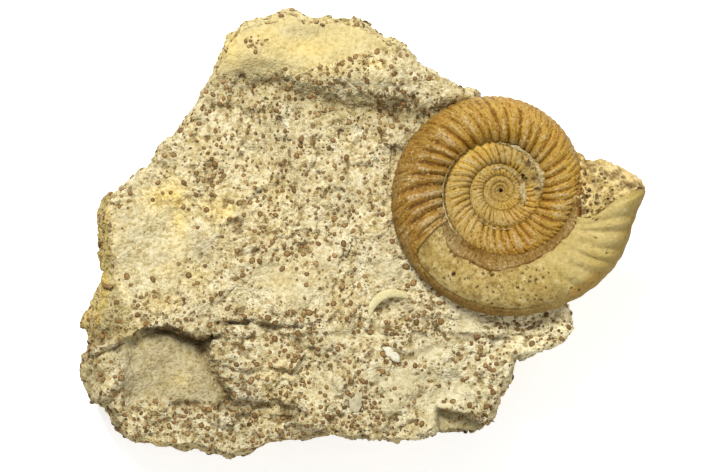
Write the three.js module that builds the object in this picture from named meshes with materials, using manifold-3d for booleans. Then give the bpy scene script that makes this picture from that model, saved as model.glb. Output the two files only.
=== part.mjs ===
// A Jurassic ammonite lying in a hand-sized block of iron-oolite limestone.
// Millimetres, +Z up. The block lies on its flat back, so the fossil looks up.
// +X runs along the block's length, towards the ammonite's mouth.
// The origin is at the centre of the whole specimen's base.

import * as THREE from "three";
import { mergeVertices } from "three/addons/utils/BufferGeometryUtils.js";
import Module from "manifold-3d";

const wasm = await Module();
wasm.setup();

// ---------------------------------------------------------------- driving dimensions

const clearance = 0.35; // air left between two neighbouring pieces

// The block: its plan outline at its widest level, anticlockwise from the corner below the ammonite.
// The stretch from (46.5, 2) to (34, 27) lies hidden under the ammonite.
const blockOutline = [
  [46, -16.2], [47, -9], [46.5, 2], [45, 12], [41, 20], [34, 27], [26.5, 31.2], [19.6, 34],
  [13.2, 38.2], [11.2, 41.2], [4.6, 44.6], [-0.2, 47.9], [-5.1, 48.7], [-11.7, 48.3], [-15.6, 49.6],
  [-25.7, 47.4], [-29.5, 44.6], [-31.2, 40.2], [-35.6, 32.2], [-37.4, 28.7], [-41.8, 22.8],
  [-44.9, 20.4], [-48, 15.3], [-54.8, 10.2], [-57.2, 8.3], [-58.1, 5.8], [-57.9, -3], [-57.2, -8.3],
  [-61.8, -19.7], [-60.1, -23.7], [-62.3, -26.3], [-62.7, -29.6], [-60.3, -36.9], [-57.9, -38],
  [-52.8, -44.8], [-49.3, -46.1], [-37, -47.4], [-29.5, -49.6], [-25.1, -48.7], [-20, -46.3],
  [-10.1, -45], [-1.8, -44.8], [7, -46], [14.1, -45], [16.5, -43.7], [26.6, -43.9], [27.9, -42],
  [29.5, -39.1], [31.2, -34.2], [33, -31.6], [34.1, -27], [40.9, -25.2], [44.4, -23.7], [46.4, -21.2],
];
const blockCentre = [-7, -3]; // the point that the outline is drawn round
const faceHeight = 29; // the middle of the upper face
const rimHeight = 14; // the level at which the block is widest
const baseInset = 3.5; // how far the flat base lies inside the outline

// The ammonite: a logarithmic spiral in a level plane.
const coilCentre = [30.4, 10.1];
const coilLevel = 30; // the height of its middle plane
const mouthRadius = 31.5; // centre to outer edge, where that edge points at mouthAngle
const mouthAngle = 350;
const growthPerTurn = 1.8;
const innerShare = 0.5; // a whorl's inner edge as a share of its outer radius
const halfWidthShare = 0.28; // a whorl's half width as a share of its outer radius
const sectionPower = 2.3; // 2 is an ellipse, more is squarer
const ribsPerTurn = 38;
const shellRibShare = 0.014; // half a rib's height as a share of the outer radius
const mouldRibShare = 0.008;
const ribLean = 11; // degrees by which a rib's outer end leads its inner end
const ribSwing = 1.7; // 1 is an even lean; more keeps a rib straight at first
const shellEndAngle = 210; // where the shell is broken away from the last whorl
const mouldEndAngle = 349;
const shellThickness = 0.35;
const ribbedTurns = 1.75; // these carry ribs; the turns inside them are smooth
const smoothTurns = 2;

// The rock left in the ammonite's mouth, in plan, and its lowest and highest level.
const plugOutline = [
  [46, 4.4], [50.7, 3.4], [55.5, 5], [59.5, 8], [62.4, 9.8],
  [62.8, 11.2], [57, 14.8], [52.7, 16.7], [47.6, 17.5], [46.6, 8],
];
const plugLevels = [25, 35.5];

// The half-buried bivalve: a crescent in plan, with its outer and inner arcs.
const bivalve = { x: 6.9, y: -17.6, outer: 6, inner: 5.96, shift: 1.96, from: 48, to: 185, thickness: 1.5 };

// ---------------------------------------------------------------- small helpers

const degrees = THREE.MathUtils.degToRad;
const smoothstep = THREE.MathUtils.smoothstep;

// A closed solid from rings of points: a fan at each end and quads between neighbouring rings.
// Rings run anticlockwise when seen from the first end's outside.
function solidFromRings(firstPole, rings, lastPole) {
  const count = rings[0].length;
  const points = [firstPole, ...rings.flat(), lastPole];
  const at = (ring, i) => 1 + ring * count + (i % count);
  const faces = [];
  for (let i = 0; i < count; i++) {
    faces.push(0, at(0, i), at(0, i + 1));
    for (let ring = 0; ring + 1 < rings.length; ring++) {
      faces.push(at(ring, i), at(ring + 1, i), at(ring + 1, i + 1));
      faces.push(at(ring, i), at(ring + 1, i + 1), at(ring, i + 1));
    }
    faces.push(points.length - 1, at(rings.length - 1, i + 1), at(rings.length - 1, i));
  }
  return new wasm.Manifold(
    new wasm.Mesh({
      numProp: 3,
      vertProperties: new Float32Array(points.flat()),
      triVerts: new Uint32Array(faces),
    }),
  );
}

// A three.js geometry that is one closed body, as a solid.
function solidFromGeometry(geometry) {
  const bare = geometry.clone();
  bare.deleteAttribute("normal");
  bare.deleteAttribute("uv");
  const merged = mergeVertices(bare, 1e-4);
  return new wasm.Manifold(
    new wasm.Mesh({
      numProp: 3,
      vertProperties: merged.attributes.position.array,
      triVerts: new Uint32Array(merged.index.array),
    }),
  );
}

// A solid back as a three.js geometry with flat faces.
function geometryFromSolid(solid) {
  const { vertProperties, triVerts } = solid.getMesh();
  const geometry = new THREE.BufferGeometry();
  geometry.setAttribute("position", new THREE.BufferAttribute(vertProperties, 3));
  geometry.setIndex(new THREE.BufferAttribute(triVerts, 1));
  return geometry;
}

// ---------------------------------------------------------------- the limestone block

// The raised shelf along the block's far edge: it ends in a step that faces -Y.
function shelf(x, y) {
  const step = 29.5 + 0.9 * Math.sin(0.16 * x + 1.2) + 3.5 * smoothstep(x, 2, 14);
  return 3.2 * smoothstep(y - step, -2.4, 2.6) - 0.2 * Math.max(0, y - step - 2);
}

// The ledge across the lower left, which overhangs a split-off hollow and dies out to the right.
function hollow(x, y) {
  const ledge = -19.8 + 1.3 * Math.sin(0.22 * x - 0.6);
  const depth = 5.5 - 4.8 * smoothstep(x, -36, 8);
  return -depth * smoothstep(ledge - y, -1, 3.2);
}

// The face falls away to the near edge and, less, to both ends.
function tilt(x, y) {
  return -0.13 * Math.max(0, -22 - y) - 0.05 * Math.max(0, -x - 30);
}

// Broad lumps left by the way the rock broke.
function lumps(x, y) {
  return 0.7 * Math.sin(0.21 * x + 0.8) * Math.cos(0.19 * y - 0.5) + 0.4 * Math.sin(0.37 * x - 0.43 * y + 2);
}

function faceLevel(x, y) {
  return faceHeight + shelf(x, y) + hollow(x, y) + tilt(x, y) + lumps(x, y);
}

// How far the upper face's shoulder lies inside the outline: narrow all round, broad on the left flank.
function flankWidth(x, y) {
  const left = smoothstep(-x, 44, 58);
  return 2 + left * (3 + 7.5 * smoothstep(-y, 8, 24) * (1 - smoothstep(-y, 32, 42)));
}

// The outline with a point added halfway along each side.
function blockCorners() {
  return blockOutline.flatMap(([x, y], i) => {
    const [nextX, nextY] = blockOutline[(i + 1) % blockOutline.length];
    return [[x, y], [(x + nextX) / 2, (y + nextY) / 2]];
  });
}

function makeBlock() {
  const [cx, cy] = blockCentre;
  const corners = blockCorners().map(([x, y]) => {
    const length = Math.hypot(x - cx, y - cy);
    const shoulder = 1 - flankWidth(x, y) / length;
    const foot = 1 - baseInset / length;
    return { x: x - cx, y: y - cy, shoulder, foot };
  });
  const place = (corner, share, level) => {
    const x = cx + corner.x * share;
    const y = cy + corner.y * share;
    return [x, y, level(x, y)];
  };
  const face = [0.15, 0.3, 0.44, 0.57, 0.68, 0.78, 0.86, 0.93, 1].map((share) =>
    corners.map((c) => place(c, share * c.shoulder, faceLevel)),
  );
  const flank = [30, 60, 90].map((angle) =>
    corners.map((c) => {
      const share = c.shoulder + (1 - c.shoulder) * Math.sin(degrees(angle));
      const [x, y, shoulderLevel] = place(c, c.shoulder, faceLevel);
      const level = rimHeight + (shoulderLevel - rimHeight) * Math.cos(degrees(angle));
      return place(c, share, () => level);
    }),
  );
  const skirt = [45, 90].map((angle) =>
    corners.map((c) => {
      const share = c.foot + (1 - c.foot) * Math.cos(degrees(angle));
      return place(c, share, () => rimHeight * (1 - Math.sin(degrees(angle))));
    }),
  );
  const top = [cx, cy, faceLevel(cx, cy)];
  return solidFromRings(top, [...face, ...flank, ...skirt], [cx, cy, 0]);
}

// ---------------------------------------------------------------- the ammonite

function outerRadius(angle) {
  return mouthRadius * growthPerTurn ** ((angle - mouthAngle) / 360);
}

// One ring of the whorl's section. Ribs lean, so each ring leans with them.
function whorlRing(angle, { sides, rib, growth }) {
  const ring = [];
  for (let i = 0; i < sides; i++) {
    const around = (2 * Math.PI * i) / sides;
    const c = Math.cos(around);
    const s = Math.sin(around);
    const outward = (1 + c) / 2;
    const here = angle + ribLean * outward ** ribSwing;
    const outer = outerRadius(here);
    const halfHeight = (outer * (1 - innerShare)) / 2;
    const halfWidth = outer * halfWidthShare;
    const grow = growth + rib * outer;
    const across = Math.sign(c) * Math.abs(c) ** (2 / sectionPower) * (halfHeight + grow);
    const up = Math.sign(s) * Math.abs(s) ** (2 / sectionPower) * (halfWidth + grow);
    const radius = outer - halfHeight + across;
    const turn = degrees(here);
    ring.push([
      coilCentre[0] + radius * Math.cos(turn),
      coilCentre[1] + radius * Math.sin(turn),
      coilLevel + up,
    ]);
  }
  return ring;
}

// The mean of a ring's points closes its end.
function ringCentre(ring) {
  return [0, 1, 2].map((axis) => ring.reduce((sum, point) => sum + point[axis], 0) / ring.length);
}

// The coil between two angles, joined from pieces of at most half a turn that share their end rings.
// A piece goes round less than one turn, so it can't meet itself.
// Each end closes in a low cone that reaches into the next piece.
function coil(from, to, { sides, ribShare, growth }) {
  const stepAngle = ribShare > 0 ? 180 / ribsPerTurn : 12;
  const steps = 2 * Math.round((to - from) / stepAngle / 2);
  const perPiece = 2 * Math.floor(90 / stepAngle);
  const rings = [];
  for (let i = 0; i <= steps; i++) {
    const rib = ribShare * (1 - 2 * (i % 2));
    rings.push(whorlRing(from + ((to - from) * i) / steps, { sides, rib, growth }));
  }
  let whole = null;
  for (let first = 0; first < steps; first += perPiece) {
    const last = Math.min(first + perPiece, steps);
    const firstPole = ringCentre(rings[Math.max(0, first - 1)]);
    const lastPole = ringCentre(rings[Math.min(steps, last + 1)]);
    const solid = solidFromRings(firstPole, rings.slice(first, last + 1), lastPole);
    whole = whole ? whole.add(solid) : solid;
  }
  return whole;
}

// The innermost turns, too small to model one by one, as one low dome on each side.
function nucleus(radius) {
  const ball = new THREE.SphereGeometry(radius, 16, 10).rotateX(Math.PI / 2);
  ball.scale(1, 1, halfWidthShare * 1.2);
  ball.translate(coilCentre[0], coilCentre[1], coilLevel);
  return solidFromGeometry(ball);
}

const ribbedFrom = shellEndAngle - 360 * ribbedTurns;
const smoothFrom = ribbedFrom - 360 * smoothTurns;

// The calcite shell: the ribbed whorls up to the broken edge, the smooth early whorls and the nucleus.
function makeShell() {
  return coil(ribbedFrom, shellEndAngle, { sides: 12, ribShare: shellRibShare, growth: 0 })
    .add(coil(smoothFrom, ribbedFrom, { sides: 8, ribShare: 0, growth: 0 }))
    .add(nucleus(outerRadius(smoothFrom) * 1.3));
}

// The room that the shell takes, grown all round, which its neighbours keep clear of.
// A round well stands for the early whorls.
function shellRoom(growth) {
  const firstAngle = shellEndAngle - 360;
  const ribRoom = shellRibShare * mouthRadius;
  const radius = outerRadius(firstAngle) + growth;
  const depth = radius * halfWidthShare + ribRoom + growth;
  const well = new THREE.CylinderGeometry(radius, radius, 2 * depth, 40).rotateX(Math.PI / 2);
  well.translate(coilCentre[0], coilCentre[1], coilLevel);
  return coil(firstAngle, shellEndAngle + 1, { sides: 12, ribShare: 0, growth: growth + ribRoom })
    .add(solidFromGeometry(well));
}

// The rock in the mouth: the plan outline drawn in towards its middle above and below.
function makePlug() {
  const [low, high] = plugLevels;
  const cx = plugOutline.reduce((sum, p) => sum + p[0], 0) / plugOutline.length;
  const cy = plugOutline.reduce((sum, p) => sum + p[1], 0) / plugOutline.length;
  const ring = (share, level) =>
    plugOutline.map(([x, y]) => [cx + (x - cx) * share, cy + (y - cy) * share, level]);
  const middle = (low + high) / 2;
  return solidFromRings(
    [cx, cy, high],
    [ring(0.75, high - 0.6), ring(1, middle), ring(0.8, low + 0.8)],
    [cx, cy, low],
  );
}

// The mould: the sediment that filled the living chamber, with the rock still standing in the mouth.
function makeMould() {
  const start = shellEndAngle + 1.2;
  const cast = coil(start, mouldEndAngle, { sides: 14, ribShare: mouldRibShare, growth: -shellThickness });
  return cast.add(makePlug()).subtract(shellRoom(clearance));
}

// ---------------------------------------------------------------- the bivalve fragment

// A crescent plate: an outer arc, and an inner arc from a centre set further back.
function makeBivalve(growth) {
  const { x, y, outer, inner, shift, from, to, thickness } = bivalve;
  const shape = new THREE.Shape();
  shape.absarc(0, 0, outer + growth, degrees(from - growth * 4), degrees(to + growth * 4), false);
  shape.absarc(0, -shift, inner - growth, degrees(to - 8 + growth * 4), degrees(from + 8 - growth * 4), true);
  const plate = new THREE.ExtrudeGeometry(shape, {
    depth: thickness + 2 * growth,
    bevelEnabled: false,
    curveSegments: 10,
  });
  plate.translate(x, y, faceLevel(x, y + outer) - thickness / 2 - growth);
  return solidFromGeometry(plate);
}

// ---------------------------------------------------------------- the specimen

const shell = makeShell();
const mould = makeMould();
const mouldRoom = coil(shellEndAngle, mouldEndAngle + 2, {
  sides: 12,
  ribShare: 0,
  growth: clearance + mouldRibShare * mouthRadius,
});
const block = makeBlock()
  .subtract(shellRoom(clearance))
  .subtract(mouldRoom)
  .subtract(makeBivalve(clearance));

const limestone = new THREE.MeshStandardMaterial({ color: 0xd8cca0, roughness: 0.9, metalness: 0 });
const calcite = new THREE.MeshStandardMaterial({ color: 0xb0813a, roughness: 0.6, metalness: 0 });
const sediment = new THREE.MeshStandardMaterial({ color: 0xc2ab6c, roughness: 0.75, metalness: 0 });
const paleShell = new THREE.MeshStandardMaterial({ color: 0xe8d9a4, roughness: 0.55, metalness: 0 });

const specimen = new THREE.Group();
for (const [name, solid, material] of [
  ["limestone_block", block, limestone],
  ["ammonite_shell", shell, calcite],
  ["body_chamber_mould", mould, sediment],
  ["bivalve_fragment", makeBivalve(0), paleShell],
]) {
  const mesh = new THREE.Mesh(geometryFromSolid(solid), material);
  mesh.name = name;
  specimen.add(mesh);
}

export default specimen;
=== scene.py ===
# An ammonite standing out of a block of iron-oolite limestone that lies on its flat back.
# Sizes are in millimetres and become metres where a mesh is made. +Z is up, +X runs towards the mouth.

import bpy
import numpy as np
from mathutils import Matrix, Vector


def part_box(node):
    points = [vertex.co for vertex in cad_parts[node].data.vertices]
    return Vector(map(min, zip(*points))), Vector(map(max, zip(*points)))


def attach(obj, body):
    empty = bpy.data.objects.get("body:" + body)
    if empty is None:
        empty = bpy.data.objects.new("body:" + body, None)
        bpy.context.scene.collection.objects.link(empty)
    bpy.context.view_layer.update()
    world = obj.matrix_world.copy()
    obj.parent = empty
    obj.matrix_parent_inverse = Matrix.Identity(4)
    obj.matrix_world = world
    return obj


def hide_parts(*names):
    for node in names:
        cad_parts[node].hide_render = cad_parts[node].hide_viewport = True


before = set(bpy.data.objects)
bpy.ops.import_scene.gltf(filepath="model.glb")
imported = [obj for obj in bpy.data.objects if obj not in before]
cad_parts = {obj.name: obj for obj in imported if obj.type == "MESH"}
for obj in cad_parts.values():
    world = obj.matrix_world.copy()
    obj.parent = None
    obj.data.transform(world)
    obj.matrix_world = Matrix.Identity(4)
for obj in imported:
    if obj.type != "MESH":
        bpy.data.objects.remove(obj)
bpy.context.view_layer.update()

# ------------------------------------------------------------------ the limestone block
# A hand-sized lump knocked off a bed of Jurassic iron-oolite limestone: cream, chalky and full of grains.
# It broke along a shelf at its far edge and split off a slab below a ledge at its lower left.
# The back is flat. The ammonite sits in a hollow of its own shape.

FACE_HEIGHT = 29.0  # the middle of the broken upper face
RIM_HEIGHT = 14.0  # where the block is widest
BASE_INSET = 3.5  # how far the flat base lies inside that rim
BLOCK_CENTRE = (-7.0, -3.0)
FACE_CELLS = 228  # squares across the upper face
FLANK_ROWS = 26
SKIRT_ROWS = 14
COIL_CENTRE = (30.4, 10.1)
COIL_LEVEL = 30.0
COIL_GROWTH = 1.8  # per turn
MOUTH_RADIUS = 31.5
MOUTH_ANGLE = 350.0
INNER_SHARE = 0.5  # a whorl's inner edge as a share of its outer radius
HALF_WIDTH_SHARE = 0.28  # half a whorl's width as a share of its outer radius
SECTION_POWER = 2.3

LAMP_LEVEL = 1.28  # how much brighter than its base colour the lamps show a level surface

# Lines on the face, as x and y of a few points.
SHELF_FOOT = [(-32, 34), (-26, 34), (-15.8, 31.9), (-7.7, 29.4), (-1.8, 28.2), (5, 27.6), (12.8, 26.6),
              (24, 25)]
SMOOTH_EDGE = [(-34, 35.5), (-26, 35.7), (-19.3, 36.6), (-13, 37), (-7, 38), (-1.5, 39.4), (2.3, 41),
               (11.3, 42.2), (20, 43)]
LEFT_EDGE = [(-26, -49), (-18.9, -49.6), (-10.5, -53.7), (5.9, -55.7), (8.9, -55.5), (14, -52)]  # y, then x
MUSTARD_EDGE = [(-22, -60), (-19.8, -57.8), (-12.3, -55.6), (0, -55.4), (8.9, -55.7), (14, -52.3)]  # y, then x
LEDGE = [(-52, -22.5), (-49.9, -21.7), (-48, -20.1), (-44.4, -19.7), (-42, -20), (-39.4, -21.2),
         (-36.1, -22.1), (-31, -21.6), (-27, -21)]
SECOND_LEDGE = [(-36, -19), (-32.8, -18.6), (-26.8, -18.4), (-24, -17.9), (-20.5, -19.2), (-13.4, -19.4),
                (-4, -17.6)]
FACET_EDGE = [(-35.3, -22), (-35.2, -26.2), (-32.6, -30.4), (-30.6, -34.2), (-29.6, -36)]
NOTCH = [(14.6, -36.6), (16.8, -37.4), (21.5, -38.6), (27.2, -41.4), (30, -42.8)]
GROOVES = [  # each with its half width and its depth
    ([(-41.8, -37), (-36.2, -36.8)], 0.6, 1.0),
    ([(-31, -37.4), (-26.8, -37.2), (-20, -37.6), (-14.3, -38.6)], 1.2, 2.0),
    ([(-26.8, -39.6), (-21.6, -39.9), (-15, -39.9)], 0.6, 1.2),
    ([(-15.6, -42.4), (-10, -43.4), (-4.4, -43.2)], 1.2, 1.4),
    ([(5, -24.2), (10, -26.6), (15, -24.4)], 0.5, 0.6),
    ([(-20, 21.5), (-12, 20.6), (-6, 21.8)], 0.6, 0.5),
    ([(-30, -29.5), (-24, -30.2), (-15.6, -29.6)], 0.6, 0.9),
]


def ease(value, low, high):
    """0 up to low, 1 from high on, and 3t^2 - 2t^3 between them."""
    t = np.clip((value - low) / (high - low), 0, 1)
    return t * t * (3 - 2 * t)


def lattice_noise(points, size, seed):
    """Smooth random values from -1 to 1: a random number per corner of a cubic lattice, blended with ease."""
    scaled = points / size + 17.3 * seed
    cell = np.floor(scaled).astype(np.int64)
    t = scaled - cell
    t = t * t * (3 - 2 * t)
    total = np.zeros(points.shape[:-1])
    for corner in np.ndindex(2, 2, 2):
        key = (cell + corner) @ np.array([73856093, 19349663, 83492791])
        key = (key ^ (key >> 13)) * 1274126177 & 0xFFFFFFFF
        key = (key ^ (key >> 16)) * 2246822519 & 0xFFFFFFFF
        weight = np.prod(np.where(corner, t, 1 - t), axis=-1)
        total += weight * (key / 2**31 - 1)
    return total


def rough(points, size, octaves, seed):
    """Lattice noises added up, each half as large and 0.55 times as strong as the one before."""
    return sum(0.55**i * lattice_noise(points, size / 2**i, seed + i) for i in range(octaves))


def chips(points, size, tilt, seed):
    """Broken facets: each point takes the plane, tilted at random, of its nearest seed."""
    rng = np.random.default_rng(seed)
    low, high = points.min(0) - size, points.max(0) + size
    seeds = rng.uniform(low, high, (int(np.prod((high - low) / size)), len(low)))
    slopes = rng.normal(0, tilt, seeds.shape)
    nearest = np.concatenate([
        ((part[:, None] - seeds) ** 2).sum(2).argmin(1)
        for part in np.array_split(points, 1 + len(points) // 2000)
    ])
    return ((points - seeds[nearest]) * slopes[nearest]).sum(1)


def hill(x, y, cx, cy, rx, ry, height=1):
    """A bell over an ellipse: the height times exp of minus the squared distance counted in radii."""
    return height * np.exp(-(((x - cx) / rx) ** 2) - ((y - cy) / ry) ** 2)


def hills(x, y, spots):
    """Bells added up, each given as centre x and y, radius in x and y, and a height if it isn't 1."""
    return sum(hill(x, y, *spot) for spot in spots)


def along(x, line):
    """The y of a line at x."""
    line = np.array(line)
    return np.interp(x, line[:, 0], line[:, 1])


def near_line(x, y, line, width):
    """A bell of height 1 across a line of points, from the distance to its nearest straight part."""
    nearest = np.full(np.shape(x), 1e9)
    for (ax, ay), (bx, by) in zip(line, line[1:]):
        dx, dy = bx - ax, by - ay
        t = np.clip(((x - ax) * dx + (y - ay) * dy) / (dx * dx + dy * dy), 0, 1)
        nearest = np.minimum(nearest, np.hypot(x - ax - t * dx, y - ay - t * dy))
    return np.exp(-((nearest / width) ** 2))


def in_facet(x, y):
    """The split facet: from the left flank to the groove at its right, which runs down and to the right."""
    right = -35.5 + 0.42 * np.maximum(0, -26 - y)
    return ease(x, -55, -51) * ease(right - x, -0.8, 0.6) * ease(y, -38.5, -34.5)


def bare_stone(x, y):
    """Where the face is smooth, with few ooids: 1 on the shelf, the left patch, the facet and in spots."""
    patch = 1.25 * hill(x, y, -45.5, -0.5, 11.5, 12)
    shelf = ease(y - along(x, SMOOTH_EDGE), -1.2, 1.2) * (1 - 0.9 * hill(x, y, -23.5, 42.2, 3, 1.4))
    facet = ease(along(x, LEDGE) - y, 0, 1) * in_facet(x, y)
    notch = ease(along(x, NOTCH) - y, -0.3, 0.6) * ease(x, 15.2, 16.8) * ease(-x, -29.5, -27)
    spots = hills(x, y, [
        (-13.5, -12, 6.5, 3.6), (-8.6, -5.8, 3, 2.6), (-21, -7.8, 4, 1.8), (-5.1, -21.7, 2.6, 2),
        (-8, -34.2, 4, 2), (5.7, -7.4, 3, 2.6), (23, -19.7, 3.4, 2.4), (14.6, -25.2, 5, 2),
        (8.2, -31.4, 7, 2.6), (20.6, -34.7, 5, 3.6), (7.7, -37, 5, 2.4), (14.5, -41, 2.2, 4),
    ])
    return np.clip(np.maximum.reduce([patch, shelf, facet, 0.75 * notch, 0.9 * spots]), 0, 1)


def outer_radius(angle):
    """The coil's outer edge: a spiral that grows 1.8 times a turn and has its full radius at the mouth."""
    return MOUTH_RADIUS * COIL_GROWTH ** ((angle - MOUTH_ANGLE) / 360)


def coil_angle(x, y):
    """The angle round the coil, from -3 to 357 degrees, and the distance from its centre."""
    dx, dy = x - COIL_CENTRE[0], y - COIL_CENTRE[1]
    return (np.degrees(np.arctan2(dy, dx)) + 3) % 360 - 3, np.hypot(dx, dy)


def coil_edge(x, y):
    """Distance outside the ammonite's outer edge, whose radius grows with the angle round the coil."""
    angle, distance = coil_angle(x, y)
    return distance - outer_radius(angle) + 0.4 * ease(angle, 205, 220)


def coil_half_height(angle, distance):
    """How far the ribless coil stands out from its middle plane: the highest whorl's superellipse."""
    heights = []
    for turns_in in range(5):
        outer = outer_radius((angle + 3) % 360 - 3 - 360 * turns_in)
        across = (distance - outer * (1 + INNER_SHARE) / 2) / (outer * (1 - INNER_SHARE) / 2)
        inside = np.clip(1 - abs(across) ** SECTION_POWER, 0, 1)
        heights.append(outer * HALF_WIDTH_SHARE * inside ** (1 / SECTION_POWER))
    return np.maximum.reduce(heights)


def below_ledge(x, y):
    """Depth of shade in the two cracks: 1 just below a ledge's lip, reaching out further where one gapes."""

    def crack(line, gape, lip, inner, outer):
        """Rises over the lip, and falls again between two shares of the gape."""
        below = along(x, line) - y
        return ease(below, *lip) * (1 - ease(below, inner * gape, outer * gape))

    first = crack(LEDGE, 0.5 + 1.9 * hill(x, 0, -40, 0, 5.5, 1), (-0.1, 0.35), 0.45, 1.25)
    second = crack(SECOND_LEDGE, 0.35 + 0.75 * hill(x, 0, -23, 0, 8, 1), (-0.2, 0.3), 0.5, 1.5)
    first = first * ease(x, -50, -47) * ease(-x, 27, 31)
    second = second * ease(x, -36, -31) * ease(-x, 8, 16)
    return first, second * (0.25 + 0.75 * ease(np.sin(1.7 * x) + np.sin(0.93 * x + 2), -1.0, 0.6))


def under_bivalve(x, y, width):
    """The furrow inside the half-buried bivalve: a bell across the upper part of a ring of 3.1 mm."""
    return ease(y, -18, -16) * hill(np.hypot(x - 7.3, y + 17.6), 0, 3.1, 0, width, 1)


def face_level(x, y):
    """Height of the upper face: a lumpy plane plus the shelf, less ledges, grooves and the coil's hollow."""
    from_foot = y - along(x, SHELF_FOOT)
    level = FACE_HEIGHT + 3.6 * ease(from_foot, -0.5, 7) - 0.24 * np.maximum(0, from_foot - 8)
    level -= 1.9 * near_line(x, y, SHELF_FOOT[1:7], 2.0) * (0.3 + 0.7 * hill(x, y, -4, 29, 13, 9))
    level += 0.8 * np.sin(0.21 * x + 0.8) * np.cos(0.19 * y - 0.5) + 0.4 * np.sin(0.37 * x - 0.43 * y + 2)
    below = along(x, LEDGE) - y
    drop = (4.6 * ease(below, 0, 0.7) - 1.3 * ease(below, 2, 9)) * (1 - 0.88 * ease(x, -36, -30))
    level -= drop * ease(x, -54, -50)
    crack, second = below_ledge(x, y)
    level -= 1.6 * crack + 1.3 * second
    below = along(x, SECOND_LEDGE) - y
    level -= ease(below, -0.2, 0.9) * (1.9 * ease(x, -35, -30) * (1 - 0.75 * ease(x, -22, -4)) - 0.1)
    level -= 2.0 * near_line(x, y, FACET_EDGE, 1.2)
    below = along(x, NOTCH) - y
    drop = (4.2 * ease(below, 0, 0.9) - 1.2 * ease(below, 1, 5)) * ease(x, 15.6, 17.4)
    level -= drop * ease(-x, -29.5, -27)
    level += 0.9 * ease(along(x, LEDGE) - y, 1, 6) * hill(x, y, -27.5, -28, 5, 7)
    for line, width, depth in GROOVES:
        level -= depth * near_line(x, y, line, width)
    level += 0.9 * hill(x, y, 15, -41, 2.4, 3.5) - 1.3 * hill(x, y, 9.5, -18.4, 4.6, 3)
    level -= 0.9 * under_bivalve(x, y, 0.9)
    level -= 0.13 * np.maximum(0, -22 - y) + 0.05 * np.maximum(0, -x - 30)
    outside = coil_edge(x, y)
    level -= 0.35 * np.exp(-((np.maximum(outside, 0) / 1.4) ** 2))
    hollow = COIL_LEVEL + 0.15 - np.maximum(coil_half_height(*coil_angle(x, y)), 3)
    return hollow + (level - hollow) * ease(outside, -0.95, -0.3)


def flank_width(x, y):
    """How far the shoulder lies inside the rim: narrow all round, broad on the left flank."""
    return 2 + ease(-x, 44, 58) * (2.0 + 7.5 * ease(-y, 8, 22) * (1 - ease(-y, 32, 42)))


def rim_radius(angle):
    """Distance from the block's centre to its rim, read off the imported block's own widest ring."""
    points = np.array([v.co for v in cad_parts["limestone_block"].data.vertices]) * 1000
    rim = np.unique(points[abs(points[:, 2] - RIM_HEIGHT) < 0.05].round(2), axis=0)[:, :2] - BLOCK_CENTRE
    turn = np.arctan2(rim[:, 1], rim[:, 0])
    order = np.argsort(turn)
    return np.interp(angle, turn[order], np.hypot(*rim[order].T), period=2 * np.pi)


def disc_grid(cells):
    """A square grid wrapped onto a disc: radius from the larger coordinate, and an evenly running angle."""
    u, v = np.meshgrid(*[np.linspace(-1, 1, cells + 1)] * 2, indexing="ij")
    wide = abs(u) >= abs(v)
    with np.errstate(divide="ignore", invalid="ignore"):
        across = np.where(wide, np.nan_to_num(v / u), np.nan_to_num(u / v)) * np.pi / 4
    angle = np.where(wide, across + np.pi * (u < 0), np.pi / 2 - across + np.pi * (v < 0))
    return np.maximum(abs(u), abs(v)), angle


def grid_faces(index):
    """The quads of a grid of vertex numbers."""
    return np.stack([index[:-1, :-1], index[1:, :-1], index[1:, 1:], index[:-1, 1:]], axis=-1).reshape(-1, 4)


def make_piece(name, points, faces, material, colours=None, masks=None, uv=None):
    """A mesh object from millimetre points and lists of faces. It has a colour for each point, and each
    mask is one value for each point or one for all."""
    mesh = bpy.data.meshes.new(name)
    mesh.from_pydata(np.asarray(points) * 0.001, [], [list(f) for part in faces for f in part])
    mesh.polygons.foreach_set("use_smooth", np.ones(len(mesh.polygons), bool))
    if colours is not None:
        attribute = mesh.color_attributes.new("tint", "FLOAT_COLOR", "POINT")
        attribute.data.foreach_set("color", np.c_[colours, np.ones(len(colours))].ravel())
    for key, values in (masks or {}).items():
        mesh.attributes.new(key, "FLOAT", "POINT").data.foreach_set("value", np.zeros(len(points)) + values)
    if uv is not None:
        corners = np.zeros(len(mesh.loops), int)
        mesh.loops.foreach_get("vertex_index", corners)
        mesh.uv_layers.new(name="along").data.foreach_set("uv", np.asarray(uv)[corners].ravel())
    mesh.materials.append(material)
    mesh.update()
    piece = bpy.data.objects.new(name, mesh)
    bpy.context.scene.collection.objects.link(piece)
    return piece


def point_normals(points, faces):
    """Unit normals at the points: the summed cross products of the diagonals of the quads round them."""
    quads = points[faces]
    across = np.cross(quads[:, 2] - quads[:, 0], quads[:, 3] - quads[:, 1])
    normals = np.zeros(points.shape)
    for corner in range(4):
        np.add.at(normals, faces[:, corner], across)
    return normals / np.maximum(np.linalg.norm(normals, axis=1, keepdims=True), 1e-9)


def paint(*display):
    """A base colour, as linear light, for a surface that is to show these 0 to 255 values under the lamps."""
    value = np.array(display) / 255
    return np.where(value < 0.04045, value / 12.92, ((value + 0.055) / 1.055) ** 2.4) / LAMP_LEVEL


def blend_colours(base, *layers):
    """The base colour with each layer's colour laid over it by the layer's mask, one value per point."""
    colours = paint(*base)
    for mask, display in layers:
        colours = colours + np.clip(mask, 0, 1)[:, None] * (paint(*display) - colours)
    return colours


def add_node(tree, kind, inputs={}, **settings):
    """Adds a shader node. An input that is a socket is linked; anything else is set as the input's value."""
    node = tree.nodes.new("ShaderNode" + kind)
    for key, value in settings.items():
        setattr(node, key, value)
    for key, value in inputs.items():
        if isinstance(value, bpy.types.NodeSocket):
            tree.links.new(value, node.inputs[key])
        else:
            node.inputs[key].default_value = value
    return node


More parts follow.
